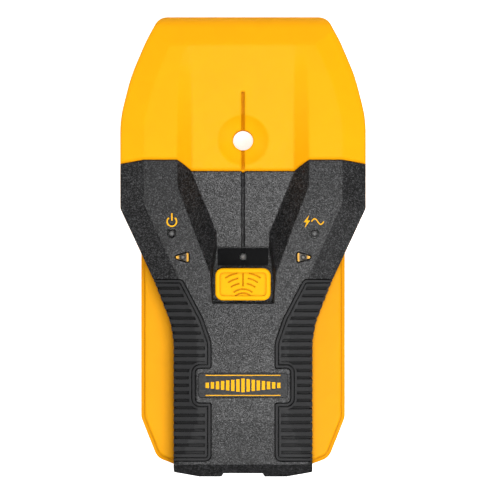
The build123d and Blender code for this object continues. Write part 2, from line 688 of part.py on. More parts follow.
def chip(name, x, y, width, length, height, leads, pitch):
    """A flat packaged circuit with a row of leads along its left and right sides."""
    with BuildPart() as package:
        with Locations((x, y, BOARD_TOP + 0.1)):
            Box(width, length, height, align=(Align.CENTER, Align.CENTER, Align.MIN))
        with Locations((x, y, BOARD_TOP)):
            with GridLocations(width + 1.0, pitch, 2, leads):
                Box(1.4, pitch / 2, 0.5, align=(Align.CENTER, Align.CENTER, Align.MIN))
    save(package, name)


chip("microcontroller", 12.0, 60.0, 9.0, 9.0, 1.5, 10, 0.8)
chip("amplifier_chip", -12.0, 60.0, 4.0, 5.0, 1.5, 4, 1.27)

with BuildPart() as resistors:
    for row_x in (-20.0, 20.0):
        with Locations((row_x, 36.0, BOARD_TOP)):
            with GridLocations(3.2, 3.4, 2, 6):
                Box(1.2, 2.0, 0.6, align=(Align.CENTER, Align.CENTER, Align.MIN))
save(resistors, "resistors")

with BuildPart() as capacitors:
    for x, y in ((-20.0, 50.5), (20.0, 50.5), (-10.0, 22.0)):
        with Locations((x, y, BOARD_TOP)):
            Cylinder(3.15, 7.0, align=(Align.CENTER, Align.CENTER, Align.MIN))
    fillet(capacitors.faces().filter_by(Axis.Z).group_by(Axis.Z)[-1].edges(), radius=0.4)
save(capacitors, "capacitors")

with BuildPart() as buzzer:
    with Locations((12.0, 22.0, BOARD_TOP)):
        Cylinder(6.0, 5.5, align=(Align.CENTER, Align.CENTER, Align.MIN))
    with Locations((12.0, 22.0, BOARD_TOP + 5.5)):
        Cylinder(1.0, 2.0, mode=Mode.SUBTRACT)
save(buzzer, "buzzer")

# ---------------------------------------------------------------- indicator lights
LAMPS = [
    ("ready_lamp", -READY_X, READY_Y, COVER_TOP + 0.4, READY_LAMP_RADIUS),
    ("live_wire_lamp", READY_X, READY_Y, COVER_TOP + 0.4, READY_LAMP_RADIUS),
    ("left_arrow_lamp", -ARROW_LAMP_X, ARROW_Y, COVER_TOP + 0.1, ARROW_LAMP_RADIUS),
    ("right_arrow_lamp", ARROW_LAMP_X, ARROW_Y, COVER_TOP + 0.1, ARROW_LAMP_RADIUS),
    ("centre_lamp", 0.0, CENTRE_LIGHT_Y, POCKET_FLOOR_Z + 2.4, CENTRE_LAMP_RADIUS),
]
LAMP_HEIGHT = 5.0
for lamp_name, lamp_x, lamp_y, lamp_top, lamp_radius in LAMPS:
    lamp(lamp_name, lamp_x, lamp_y, lamp_top - LAMP_HEIGHT, lamp_top, lamp_radius)

with BuildPart() as lamp_spacers:
    for _, lamp_x, lamp_y, lamp_top, lamp_radius in LAMPS:
        with BuildSketch(Plane.XY.offset(BOARD_TOP)):
            with Locations((lamp_x, lamp_y)):
                Circle(lamp_radius + 0.3)
        extrude(amount=lamp_top - LAMP_HEIGHT - BOARD_TOP)
save(lamp_spacers, "lamp_spacers")

# ---------------------------------------------------------------- battery and its snap connector
BATTERY_MID_Y = BATTERY_END_Y + BATTERY_BODY / 2
BATTERY_MID_Z = BATTERY_Z + BATTERY_DEPTH / 2
TERMINAL_X = 6.35
TERMINAL_LENGTH = 2.0
SNAP_Y = BATTERY_TOP_Y + TERMINAL_LENGTH + 1.6
LEAD_X = 10.5

with BuildPart() as battery:
    with Locations((0, BATTERY_MID_Y, BATTERY_MID_Z)):
        Box(BATTERY_WIDTH, BATTERY_BODY, BATTERY_DEPTH)
    fillet(battery.edges().filter_by(Axis.Y), radius=2.0)
    chamfer(battery.faces().filter_by(Axis.Y).edges(), length=0.4)
save(battery, "battery")

with BuildPart() as battery_terminals:
    with Locations(Location((TERMINAL_X, BATTERY_TOP_Y, BATTERY_MID_Z), (-90, 0, 0))):
        Cylinder(2.8, TERMINAL_LENGTH, align=(Align.CENTER, Align.CENTER, Align.MIN))
    with Locations(Location((-TERMINAL_X, BATTERY_TOP_Y, BATTERY_MID_Z), (-90, 0, 0))):
        Cylinder(3.9, TERMINAL_LENGTH, align=(Align.CENTER, Align.CENTER, Align.MIN))
save(battery_terminals, "battery_terminals")

with BuildPart() as battery_snap:
    with Locations((0, BATTERY_TOP_Y + TERMINAL_LENGTH, BATTERY_MID_Z)):
        Box(24.0, 1.6, 11.0, align=(Align.CENTER, Align.MIN, Align.CENTER))
    fillet(battery_snap.edges().filter_by(Axis.Y), radius=3.0)
save(battery_snap, "battery_snap")

for lead_name, side in (("battery_lead_red", 1), ("battery_lead_black", -1)):
    with BuildPart() as battery_lead:
        with BuildLine():
            FilletPolyline(
                (side * LEAD_X, SNAP_Y, BATTERY_MID_Z),
                (side * LEAD_X, SNAP_Y + 4.0, BATTERY_MID_Z),
                (side * LEAD_X, SNAP_Y + 4.0, BOARD_TOP),
                radius=2.4,
            )
        with BuildSketch(Plane(origin=(side * LEAD_X, SNAP_Y, BATTERY_MID_Z), z_dir=(0, 1, 0))):
            Circle(0.7)
        sweep()
    save(battery_lead, lead_name)

# ---------------------------------------------------------------- battery door and latch
with BuildPart() as battery_door:
    with BuildSketch(Plane.XY.offset(BACK_Z)):
        with Locations((0, (HINGE_Y + DOOR_END_Y) / 2)):
            Rectangle(2 * DOOR_HALF, HINGE_Y - DOOR_END_Y)
        with Locations((0, DOOR_END_Y)):
            Rectangle(2 * TAB_HALF, 3.8)
    extrude(amount=DOOR_THICK)
    with Locations(Location((0, HINGE_Y, HINGE_Z), (0, 90, 0))):
        Cylinder(HINGE_RADIUS, 2 * DOOR_HALF)
        Cylinder(PIN_RADIUS, 2 * PIN_END_X)
    for side in (1, -1):
        with Locations((side * (TAB_HALF - 0.35), LATCH_Y + 0.1, BACK_Z)):
            Box(0.7, 1.9, LATCH_Z - BACK_Z + 1.0, align=(Align.CENTER, Align.CENTER, Align.MIN))
    with Locations(Location((0, LATCH_Y, LATCH_Z), (0, 90, 0))):
        Cylinder(LATCH_PIN_RADIUS + 0.05, 2 * TAB_HALF + 1.0, mode=Mode.SUBTRACT)
    # grip lines for the thumb on the outside
    with BuildSketch(Plane.XY.offset(BACK_Z)):
        with Locations((0, -68.0)):
            with GridLocations(1.0, 2.0, 1, 5):
                Rectangle(14.0, 0.8)
    extrude(amount=0.4, mode=Mode.SUBTRACT)
save(battery_door, "battery_door")

with BuildPart() as door_foam_pad:
    with Locations((0, BATTERY_MID_Y, BACK_Z + DOOR_THICK)):
        Box(18.0, 32.0, 0.8, align=(Align.CENTER, Align.CENTER, Align.MIN))
save(door_foam_pad, "door_foam_pad")

with BuildPart() as door_latch:
    with Locations((0, LATCH_Y, LATCH_Z)):
        Box(2 * LATCH_HALF, 1.0, LATCH_HEIGHT, align=(Align.CENTER, Align.CENTER, Align.MIN))
    with Locations(Location((0, LATCH_Y, LATCH_Z), (0, 90, 0))):
        Cylinder(0.9, 2 * LATCH_HALF)
        Cylinder(LATCH_PIN_RADIUS, 2 * TAB_HALF - 0.4)
    with Locations((0, LATCH_Y - 0.5, LATCH_HOOK_Z)):
        Box(2 * LATCH_HALF, 1.4, HOOK_HEIGHT, align=(Align.CENTER, Align.MAX, Align.CENTER))
save(door_latch, "door_latch")


# ---------------------------------------------------------------- fasteners and glide pads
def screws(name, places, head_z, head_radius, head_height, shank_radius, length):
    """Cross-head screws driven from the back: heads below head_z, shanks above it."""
    with BuildPart() as fasteners:
        for x, y in places:
            with BuildSketch(Plane.XY.offset(head_z - head_height)):
                with Locations((x, y)):
                    Circle(head_radius)
            extrude(amount=head_height)
            with BuildSketch(Plane.XY.offset(head_z)):
                with Locations((x, y)):
                    Circle(shank_radius)
            extrude(amount=length)
            for turn in (0, 90):
                with Locations(Location((x, y, head_z - head_height), (0, 0, turn))):
                    Box(head_radius * 1.1, 0.5, 1.4, mode=Mode.SUBTRACT)
    save(fasteners, name)


screws("housing_screws", HEAD_SCREWS + COVER_SCREWS, SEAT_Z, 2.6, 1.6, SCREW_RADIUS, 10.5)

with BuildPart() as board_screws:
    for screw_x, screw_y in BOARD_SCREWS:
        with Locations((screw_x, screw_y, BOARD_TOP)):
            Cylinder(1.8, 1.2, align=(Align.CENTER, Align.CENTER, Align.MIN))
            Cylinder(0.8, BOARD_THICK + 2.0, align=(Align.CENTER, Align.CENTER, Align.MAX))
        with Locations((screw_x, screw_y, BOARD_TOP + 1.2)):
            Box(2.0, 0.4, 1.0, mode=Mode.SUBTRACT)
            Box(0.4, 2.0, 1.0, mode=Mode.SUBTRACT)
save(board_screws, "board_screws")

with BuildPart() as glide_pads:
    with BuildSketch():
        with Locations((0, 76.5)):
            SlotOverall(44.0, 5.0)
        with Locations((27.0, -55.0), (-27.0, -55.0)):
            SlotOverall(30.0, 5.0, rotation=90)
        with Locations((25.5, 28.0), (-25.5, 28.0)):
            SlotOverall(22.0, 5.0, rotation=90)
    extrude(amount=BACK_Z)
save(glide_pads, "glide_pads")
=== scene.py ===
import math

import bmesh
import bpy
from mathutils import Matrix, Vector


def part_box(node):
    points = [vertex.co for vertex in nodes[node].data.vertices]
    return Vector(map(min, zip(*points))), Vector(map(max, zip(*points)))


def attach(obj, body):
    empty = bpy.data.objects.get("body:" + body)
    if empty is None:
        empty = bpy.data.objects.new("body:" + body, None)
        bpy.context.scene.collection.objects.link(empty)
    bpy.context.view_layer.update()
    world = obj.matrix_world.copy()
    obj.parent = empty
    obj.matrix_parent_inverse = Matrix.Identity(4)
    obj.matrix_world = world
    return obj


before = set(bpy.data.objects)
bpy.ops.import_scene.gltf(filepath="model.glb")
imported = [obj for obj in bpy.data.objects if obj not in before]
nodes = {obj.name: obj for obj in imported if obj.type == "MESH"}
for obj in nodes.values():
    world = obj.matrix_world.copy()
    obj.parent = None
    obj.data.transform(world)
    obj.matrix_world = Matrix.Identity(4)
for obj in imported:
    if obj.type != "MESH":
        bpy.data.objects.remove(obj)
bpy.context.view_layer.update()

MM = 0.001


def middle(node):
    """The centre of a CAD node's box."""
    low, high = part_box(node)
    return (low + high) / 2


badge_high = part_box("badge_plate")[1]
BADGE_RISE = 0.25 * MM
COVER_TOP = badge_high.z - BADGE_RISE
READY = middle("ready_lamp")
LIVE = middle("live_wire_lamp")


# ---------------------------------------------------------------- node materials
CORNER_SAMPLES = 4
SHELTER_SAMPLES = 6


class Finish:
    """A material with one Principled surface, and short calls for adding and joining its nodes."""

    def __init__(self, name, colour, roughness, **sockets):
        self.material = bpy.data.materials.new(name)
        self.material.use_nodes = True
        self.tree = self.material.node_tree
        self.surface = self.tree.nodes["Principled BSDF"]
        self.colour = (*colour, 1.0)
        self.surface.inputs["Base Color"].default_value = self.colour
        self.surface.inputs["Roughness"].default_value = roughness
        for socket, value in sockets.items():
            self.surface.inputs[socket.replace("_", " ")].default_value = value
        self.place = self.node("ShaderNodeTexCoord").outputs["Object"]

    def node(self, kind, **inputs):
        made = self.tree.nodes.new(kind)
        for socket, value in inputs.items():
            self.feed(made.inputs[socket.replace("_", " ")], value)
        return made

    def feed(self, socket, value):
        """Joins an output to the socket, or sets its number."""
        if isinstance(value, bpy.types.NodeSocket):
            self.tree.links.new(value, socket)
        else:
            socket.default_value = value

    def noise(self, size, detail=2.0, distortion=0.0):
        """Noise whose lumps are about size metres across, from 0 to 1."""
        made = self.node(
            "ShaderNodeTexNoise",
            Vector=self.place,
            Scale=1.0 / size,
            Detail=detail,
            Distortion=distortion,
        )
        return made.outputs["Fac"]

    def pebbles(self, size):
        """Rounded cells about size metres across: 0 at a cell's middle, more at its rim."""
        made = self.node("ShaderNodeTexVoronoi", Vector=self.place, Scale=1.0 / size)
        return made.outputs["Distance"]

    def specks(self, size):
        """A random number from 0 to 1 for each cell about size metres across."""
        made = self.node("ShaderNodeTexVoronoi", Vector=self.place, Scale=1.0 / size)
        return self.node("ShaderNodeSeparateXYZ", Vector=made.outputs["Color"]).outputs["X"]

    def spread(self, value, low, high, to_low, to_high):
        """The value moved from the range low..high to the range to_low..to_high."""
        made = self.node(
            "ShaderNodeMapRange",
            Value=value,
            From_Min=low,
            From_Max=high,
            To_Min=to_low,
            To_Max=to_high,
        )
        return made.outputs["Result"]

    def maths(self, operation, first, second=0.0):
        made = self.tree.nodes.new("ShaderNodeMath")
        made.operation = operation
        self.feed(made.inputs[0], first)
        self.feed(made.inputs[1], second)
        return made.outputs[0]

    def blend(self, share, first, second):
        """The first colour where share is 0, the second where it is 1."""
        made = self.tree.nodes.new("ShaderNodeMix")
        made.data_type = "RGBA"
        self.feed(made.inputs["Factor"], share)
        for name, colour in (("A", first), ("B", second)):
            matching = [socket for socket in made.inputs if socket.name == name]
            target = [socket for socket in matching if socket.type == "RGBA"][0]
            if not isinstance(colour, bpy.types.NodeSocket):
                colour = (*colour, 1.0)
            self.feed(target, colour)
        return [socket for socket in made.outputs if socket.type == "RGBA"][0]

    def edges(self, radius):
        """1 along convex and concave edges within radius, 0 on flat faces."""
        rounded = self.node("ShaderNodeBevel", Radius=radius)
        rounded.samples = CORNER_SAMPLES
        flat = self.node("ShaderNodeNewGeometry").outputs["Normal"]
        dot = self.tree.nodes.new("ShaderNodeVectorMath")
        dot.operation = "DOT_PRODUCT"
        self.feed(dot.inputs[0], rounded.outputs["Normal"])
        self.feed(dot.inputs[1], flat)
        return self.spread(dot.outputs["Value"], 1.0, 0.9, 0.0, 1.0)

    def shelter(self, reach):
        """1 on open surfaces, less down in grooves and corners within reach."""
        made = self.node("ShaderNodeAmbientOcclusion", Distance=reach)
        made.samples = SHELTER_SAMPLES
        return made.outputs["AO"]

    def relief(self, height, depth, soften=0.0, strength=1.0):
        """Bump of the given depth in metres over edges softened by the radius soften."""
        bump = self.node("ShaderNodeBump", Height=height, Distance=depth, Strength=strength)
        if soften:
            rounded = self.node("ShaderNodeBevel", Radius=soften)
            rounded.samples = CORNER_SAMPLES
            self.feed(bump.inputs["Normal"], rounded.outputs["Normal"])
        self.feed(self.surface.inputs["Normal"], bump.outputs["Normal"])

    def paint(self, colour):
        self.feed(self.surface.inputs["Base Color"], colour)

    def gloss(self, roughness):
        self.feed(self.surface.inputs["Roughness"], roughness)


def scaled(colour, factor):
    return tuple(channel * factor for channel in colour)


CLOUD_SIZE = 9 * MM
GLINT_SIZE = 0.3 * MM
GLINT_RARITY = 3.0
WORN_AND_HIGHLIT_EDGE = 0.35 * MM
GROOVE_REACH = 1.2 * MM


def moulded(
    name,
    colour,
    roughness,
    grain,
    depth,
    soften=0.25 * MM,
    mottle=0.08,
    edge_wear_and_highlight=0.25,
    painted_glint_gain=0.0,
    shade=0.3,
    swing=0.0,
    **sockets,
):
    """Injection-moulded plastic: fine grain, faint flow mottling, edges lighter from wear and
    painted highlight, and painted shade in grooves.

    A speckle gain paints glints: cells that many times as bright as the colour; swing varies their
    gloss.
    """
    finish = Finish(name, colour, roughness, **sockets)
    cloud = finish.noise(CLOUD_SIZE, detail=3.0, distortion=0.6)
    fine = finish.noise(grain, detail=3.0)
    coarse = finish.noise(grain * 3.1, detail=1.0)
    flow = finish.spread(cloud, 0.3, 0.7, 0.0, 1.0)
    mottle_and_glints = finish.blend(flow, scaled(colour, 1.0 - mottle), scaled(colour, 1.0 + mottle))
    patchy = finish.spread(coarse, 0.35, 0.65, 0.2, 1.0)
    # edges are lighter partly from wear and partly as a painted highlight; they are also made
    # glossier
    rubbed_and_highlit_edges = finish.maths("MULTIPLY", finish.edges(WORN_AND_HIGHLIT_EDGE), patchy)
    uneven = finish.spread(coarse, 0.3, 0.7, roughness - 0.05, roughness + 0.05)
    # painted glints: random cells painted many times brighter than the colour, their roughness
    # varied by swing
    if painted_glint_gain:
        specks = finish.specks(GLINT_SIZE)
        glints = finish.maths("POWER", specks, GLINT_RARITY)
        mottle_and_glints = finish.blend(glints, mottle_and_glints, scaled(colour, painted_glint_gain))
        uneven = finish.maths("ADD", uneven, finish.spread(specks, 0.0, 1.0, swing, -swing))
    # blend in the lighter edge colour: part wear, part painted highlight
    worn_and_highlit = finish.blend(finish.maths("MULTIPLY", rubbed_and_highlit_edges, 0.5), mottle_and_glints, scaled(colour, 1.0 + edge_wear_and_highlight))
    # painted shade: grooves and corners within GROOVE_REACH turn towards a deeper copy of the
    # colour, by the shade share
    painted_groove_shade = finish.spread(finish.shelter(GROOVE_REACH), 0.45, 0.95, shade, 0.0)
    finish.paint(finish.blend(painted_groove_shade, worn_and_highlit, tuple(channel**1.5 * 0.5 for channel in colour)))
    finish.gloss(finish.maths("SUBTRACT", uneven, finish.maths("MULTIPLY", rubbed_and_highlit_edges, 0.08)))
    height = finish.maths("ADD", fine, finish.maths("MULTIPLY", coarse, 0.5))
    finish.relief(height, depth, soften)
    return finish.material


def metal(name, colour, roughness, scratch=0.05 * MM):
    """Bright metal with fine drawn scratches and dull patches."""
    finish = Finish(name, colour, roughness, Metallic=1.0)
    streak = finish.noise(scratch, detail=2.0)
    patch = finish.noise(1.5 * MM, detail=2.0)
    dulled = finish.spread(patch, 0.35, 0.7, 0.0, 1.0)
    finish.paint(finish.blend(dulled, colour, scaled(colour, 0.78)))
    finish.gloss(finish.spread(patch, 0.3, 0.7, roughness - 0.06, roughness + 0.12))
    finish.relief(streak, 0.006 * MM, 0.08 * MM)
    return finish.material


YELLOW = (0.88, 0.368, 0.003)
MARK_YELLOW = (0.85, 0.42, 0.006)

yellow_shell = moulded(
    "yellow_shell_plastic",
    YELLOW,
    0.42,
    0.35 * MM,
    0.008 * MM,
    soften=1.6 * MM,
    mottle=0.02,
    edge_wear_and_highlight=0.05,
    shade=0.6,
    Specular_IOR_Level=0.04,
)
button_plastic = moulded(
    "button_plastic_satin",
    (0.86, 0.39, 0.003),
    0.36,
    0.35 * MM,
    0.006 * MM,
    soften=0.35 * MM,
    mottle=0.02,
    edge_wear_and_highlight=0.1,
    shade=0.7,
    Specular_IOR_Level=0.02,
)
black_cover = moulded(
    "black_cover_grain",
    (0.003, 0.003, 0.0031),
    0.32,
    0.45 * MM,
    0.05 * MM,
    soften=0.45 * MM,
    mottle=0.12,
    # edge lightening this strong is chiefly a painted highlight
    edge_wear_and_highlight=7.0,
    # painted glints at about 21 times the colour
    painted_glint_gain=21.0,
    swing=0.07,
    Specular_IOR_Level=0.13,
)
grip_rubber = moulded(
    "grip_rubber_matt",
    (0.02, 0.02, 0.0207),
    0.5,
    0.5 * MM,
    0.03 * MM,
    soften=0.5 * MM,
    mottle=0.1,
    # edge lightening here paints highlights along the rib edges
    edge_wear_and_highlight=3.0,
    # painted shade in the rib grooves at full strength
    shade=1.0,
    Specular_IOR_Level=0.12,
)
badge_black = moulded(
    "badge_black_satin",
    (0.008, 0.008, 0.0085),
    0.36,
    0.3 * MM,
    0.02 * MM,
    edge_wear_and_highlight=0.4,
    Specular_IOR_Level=0.12,
)
window_black = moulded(
    "window_black_gloss",
    (0.004, 0.004, 0.0045),
    0.22,
    0.4 * MM,
    0.003 * MM,
    soften=0.15 * MM,
    Specular_IOR_Level=0.01,
)


def small_plastic(name, colour, roughness, grain=0.2 * MM, depth=0.01 * MM, soften=0.1 * MM):
    """Fine-grained plastic of a small inner part."""
    return moulded(name, colour, roughness, grain, depth, soften=soften)


switch_black = small_plastic("switch_black_plastic", (0.02, 0.02, 0.022), 0.45)
plunger_grey = small_plastic("plunger_grey_plastic", (0.5, 0.5, 0.48), 0.4)
buzzer_black = small_plastic("buzzer_black_plastic", (0.018, 0.018, 0.02), 0.35)
spacer_white = small_plastic("spacer_white_nylon", (0.75, 0.74, 0.7), 0.5, depth=0.008 * MM)
snap_black = small_plastic(
    "snap_black_vinyl", (0.02, 0.02, 0.02), 0.5, grain=0.3 * MM, depth=0.02 * MM, soften=0.3 * MM
)
chip_black = small_plastic(
    "chip_epoxy_black", (0.015, 0.015, 0.016), 0.55, grain=0.12 * MM, soften=0.08 * MM
)
lead_red = moulded("lead_red_vinyl", (0.55, 0.02, 0.015), 0.42, 0.3 * MM, 0.01 * MM)
lead_black = moulded("lead_black_vinyl", (0.02, 0.02, 0.02), 0.42, 0.3 * MM, 0.01 * MM)
steel = metal("screw_steel_zinc", (0.6, 0.6, 0.58), 0.32)
contact = metal("contact_steel_nickel", (0.72, 0.7, 0.66), 0.25)
copper = metal("sensor_copper_tinned", (0.8, 0.55, 0.38), 0.35, 0.12 * MM)


def circuit_board():
    """Green board: solder mask with faint copper tracks under it and a woven glass ground."""
    green = (0.012, 0.1, 0.045)
    finish = Finish("board_green_mask", green, 0.32, Coat_Weight=0.3)
    tracks = finish.node("ShaderNodeTexBrick", Vector=finish.place, Scale=260.0, Mortar_Size=0.06)
    lines = tracks.outputs["Fac"]
    weave = finish.noise(0.25 * MM, detail=1.0)
    finish.paint(finish.blend(lines, green, (0.03, 0.2, 0.08)))
    finish.gloss(finish.spread(weave, 0.3, 0.7, 0.26, 0.4))
    finish.relief(finish.maths("ADD", lines, finish.maths("MULTIPLY", weave, 0.3)), 0.02 * MM)
    return finish.material


BAND_REPEAT = 1.7 * MM


def banded(name, dark, bright, axis, centre, half_body):
    """Bands along an axis: dark near the centre, bright metal beyond half_body, repeated."""
    finish = Finish(name, dark, 0.4)
    split = finish.node("ShaderNodeSeparateXYZ", Vector=finish.place).outputs[axis]
    wrapped = finish.maths("PINGPONG", finish.maths("SUBTRACT", split, centre), BAND_REPEAT)
    ends = finish.maths("GREATER_THAN", wrapped, half_body)
    grain = finish.noise(0.15 * MM)
    finish.paint(finish.blend(ends, dark, bright))
    finish.feed(finish.surface.inputs["Metallic"], finish.maths("MULTIPLY", ends, 0.9))
    finish.gloss(finish.spread(grain, 0.3, 0.7, 0.3, 0.5))
    finish.relief(grain, 0.01 * MM)
    return finish.material


def capacitor_can():
    """Sleeved can: dark sleeve, bare aluminium top scored with a cross."""
    sleeve = (0.012, 0.014, 0.04)
    finish = Finish("capacitor_sleeve_and_can", sleeve, 0.35)
    facing = finish.node("ShaderNodeNewGeometry").outputs["Normal"]
    upward = finish.node("ShaderNodeSeparateXYZ", Vector=facing).outputs["Z"]
    lid = finish.maths("GREATER_THAN", upward, 0.6)
    grain = finish.noise(0.2 * MM)
    finish.paint(finish.blend(lid, sleeve, (0.62, 0.62, 0.64)))
    finish.feed(finish.surface.inputs["Metallic"], lid)
    finish.gloss(finish.spread(grain, 0.3, 0.7, 0.28, 0.42))
    finish.relief(grain, 0.008 * MM)
    return finish.material


def battery_jacket():
    """Battery jacket: dark, with a copper-coloured band at the terminal end, under clear film."""
    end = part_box("battery")[1].y
    dark = (0.02, 0.02, 0.024)
    finish = Finish("battery_jacket_foil", dark, 0.3, Coat_Weight=0.6)
    along = finish.node("ShaderNodeSeparateXYZ", Vector=finish.place).outputs["Y"]
    ripple = finish.noise(6 * MM, detail=2.0)
    band = finish.spread(along, end - 13.2 * MM, end - 13.0 * MM, 0.0, 1.0)
    from_line = finish.maths("ABSOLUTE", finish.maths("SUBTRACT", along, end - 15.0 * MM))
    line = finish.spread(from_line, 0.4 * MM, 0.5 * MM, 1.0, 0.0)
    finish.paint(finish.blend(finish.maths("MAXIMUM", band, line), dark, (0.62, 0.3, 0.12)))
    finish.feed(finish.surface.inputs["Metallic"], finish.maths("MULTIPLY", band, 0.7))
    finish.gloss(finish.spread(ripple, 0.3, 0.7, 0.24, 0.4))
    finish.relief(ripple, 0.08 * MM, 0.3 * MM)
    return finish.material


def lamp_body(name, colour):
    """Milky lamp resin, with painted shade where it sinks into its opening."""
    finish = Finish(name, colour, 0.3, Specular_IOR_Level=0.3)
    cloud = finish.noise(0.7 * MM, detail=2.0)
    swirl = finish.spread(cloud, 0.35, 0.65, 0.0, 1.0)
    milky = finish.blend(swirl, scaled(colour, 0.85), scaled(colour, 1.15))
    # painted shade: the colour falls to near black where the dome sits down in its opening
    painted_sunk_shade = finish.spread(finish.shelter(1.5 * MM), 0.5, 0.97, 1.0, 0.0)
    finish.paint(finish.blend(painted_sunk_shade, milky, scaled(colour, 0.03)))
    finish.gloss(finish.spread(cloud, 0.3, 0.7, 0.26, 0.36))
    finish.relief(cloud, 0.004 * MM)
    return finish.material


LENS_DARK_REACH = 1.15 * MM
LENS_AMBER_REACH = 1.8 * MM


def amber_lens(side):
    """Smoked arrow lens: dark round its lamp, amber at its tip and along its base."""
    lamp = middle("right_arrow_lamp" if side > 0 else "left_arrow_lamp")
    name = "lens_amber_smoked_" + ("r" if side > 0 else "l")
    finish = Finish(name, (0.5, 0.25, 0.01), 0.3, Specular_IOR_Level=0.2)
    across = finish.node("ShaderNodeSeparateXYZ", Vector=finish.place).outputs["X"]
    reach = finish.maths("ABSOLUTE", finish.maths("SUBTRACT", across, lamp.x))
    glow = finish.spread(reach, LENS_DARK_REACH, LENS_AMBER_REACH, 0.0, 1.0)
    cloud = finish.noise(0.5 * MM, detail=2.0)
    amber = finish.blend(cloud, (0.55, 0.25, 0.002), (0.8, 0.4, 0.004))
    finish.paint(finish.blend(glow, (0.03, 0.02, 0.008), amber))
    finish.gloss(finish.spread(cloud, 0.3, 0.7, 0.24, 0.38))
    finish.relief(cloud, 0.01 * MM, 0.1 * MM)
    return finish.material


def open_foam():
    """Soft closed-cell foam with small pits."""
    finish = Finish("foam_grey_cells", (0.06, 0.06, 0.065), 0.9, Sheen_Weight=0.3)
    cells = finish.pebbles(0.5 * MM)
    finish.paint(finish.blend(cells, (0.03, 0.03, 0.032), (0.1, 0.1, 0.105)))
    finish.gloss(finish.spread(cells, 0.0, 1.0, 0.8, 0.95))
    finish.relief(cells, 0.12 * MM)
    return finish.material


def felt_pads():
    """Pressed felt strips on the back."""
    finish = Finish("felt_charcoal_fibres", (0.045, 0.045, 0.05), 0.95, Sheen_Weight=0.5)
    fibres = finish.noise(0.12 * MM, detail=4.0, distortion=2.5)
    finish.paint(finish.blend(fibres, (0.02, 0.02, 0.022), (0.1, 0.1, 0.11)))
    finish.gloss(finish.spread(fibres, 0.2, 0.8, 0.85, 1.0))
    finish.relief(fibres, 0.08 * MM)
    return finish.material


def ink():
    """Pad-printed yellow ink: slightly uneven film with tiny pinholes."""
    finish = Finish("ink_yellow_print", MARK_YELLOW, 0.45, Specular_IOR_Level=0.05)
    film = finish.noise(0.3 * MM, detail=3.0)
    thin = finish.spread(film, 0.3, 0.7, 0.0, 1.0)
    finish.paint(finish.blend(thin, scaled(MARK_YELLOW, 0.85), MARK_YELLOW))
    finish.gloss(finish.spread(film, 0.3, 0.7, 0.38, 0.52))
    finish.relief(film, 0.01 * MM)
    return finish.material


grey_lamp = lamp_body("lamp_grey_resin", (0.14, 0.138, 0.135))
smoked_lamp = lamp_body("lamp_smoked_resin", (0.1, 0.1, 0.1))
resistor_body = banded(
    "resistor_black_tinned", (0.02, 0.02, 0.024), (0.7, 0.7, 0.68), "Y", 36.0 * MM, 0.7 * MM
)
print_ink = ink()

NODE_FINISH = {
    "rear_shell": yellow_shell,
    "head_shell": yellow_shell,
    "front_cover": black_cover,
    "grip_pad_left": grip_rubber,
    "grip_pad_right": grip_rubber,
    "badge_plate": badge_black,
    "left_arrow_lens": amber_lens(-1),
    "right_arrow_lens": amber_lens(1),
    "centre_light_window": window_black,
    "power_button": button_plastic,
    "switch_body": switch_black,
    "switch_plunger": plunger_grey,
    "main_pcb": circuit_board(),
    "sensor_plates": copper,
    "microcontroller": chip_black,
    "amplifier_chip": chip_black,
    "resistors": resistor_body,
    "capacitors": capacitor_can(),
    "buzzer": buzzer_black,
    "ready_lamp": smoked_lamp,
    "live_wire_lamp": smoked_lamp,
    "left_arrow_lamp": grey_lamp,
    "right_arrow_lamp": grey_lamp,
    "centre_lamp": grey_lamp,
    "lamp_spacers": spacer_white,
    "battery": battery_jacket(),
    "battery_terminals": contact,
    "battery_snap": snap_black,
    "battery_lead_red": lead_red,
    "battery_lead_black": lead_black,
    "battery_door": yellow_shell,
    "door_foam_pad": open_foam(),
    "door_latch": yellow_shell,
    "housing_screws": steel,
    "board_screws": steel,
    "glide_pads": felt_pads(),
}
for name, finish_material in NODE_FINISH.items():
    node = nodes[name]
    node.data.materials.clear()
    node.data.materials.append(finish_material)


# ---------------------------------------------------------------- printed marks on the cover
def printed(name, outlines, bottom, top, material):
    """A thin printed or raised piece made of closed outlines, each raised from bottom to top."""
    mesh = bmesh.new()
    for outline in outlines:
        low = [mesh.verts.new((x, y, bottom)) for x, y in outline]
        high = [mesh.verts.new((x, y, top)) for x, y in outline]
        mesh.faces.new(high)
        mesh.faces.new(list(reversed(low)))
        for index in range(len(outline)):
            after = (index + 1) % len(outline)
            mesh.faces.new((low[index], low[after], high[after], high[index]))
    bmesh.ops.recalc_face_normals(mesh, faces=mesh.faces)
    data = bpy.data.meshes.new(name)
    mesh.to_mesh(data)
    mesh.free()
    piece = bpy.data.objects.new(name, data)
    bpy.context.scene.collection.objects.link(piece)
    piece.data.materials.append(material)
    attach(piece, "tool")
    return piece


def stroke(points, width):
    """The outline of a line of the given width drawn through the points."""
    left, right = [], []
    for index, point in enumerate(points):
        before = points[max(index - 1, 0)]
        after = points[min(index + 1, len(points) - 1)]
        along = (Vector(after) - Vector(before)).normalized()
        side = Vector((-along.y, along.x)) * width / 2
        left.append((point[0] + side.x, point[1] + side.y))
        right.append((point[0] - side.x, point[1] - side.y))
    return left + right[::-1]


def arc(centre, radius, first, last, steps=28):
    """Points round a circle from the first to the last angle, in degrees."""
    angles = [math.radians(first + (last - first) * i / steps) for i in range(steps + 1)]
    return [(centre[0] + radius * math.cos(a), centre[1] + radius * math.sin(a)) for a in angles]


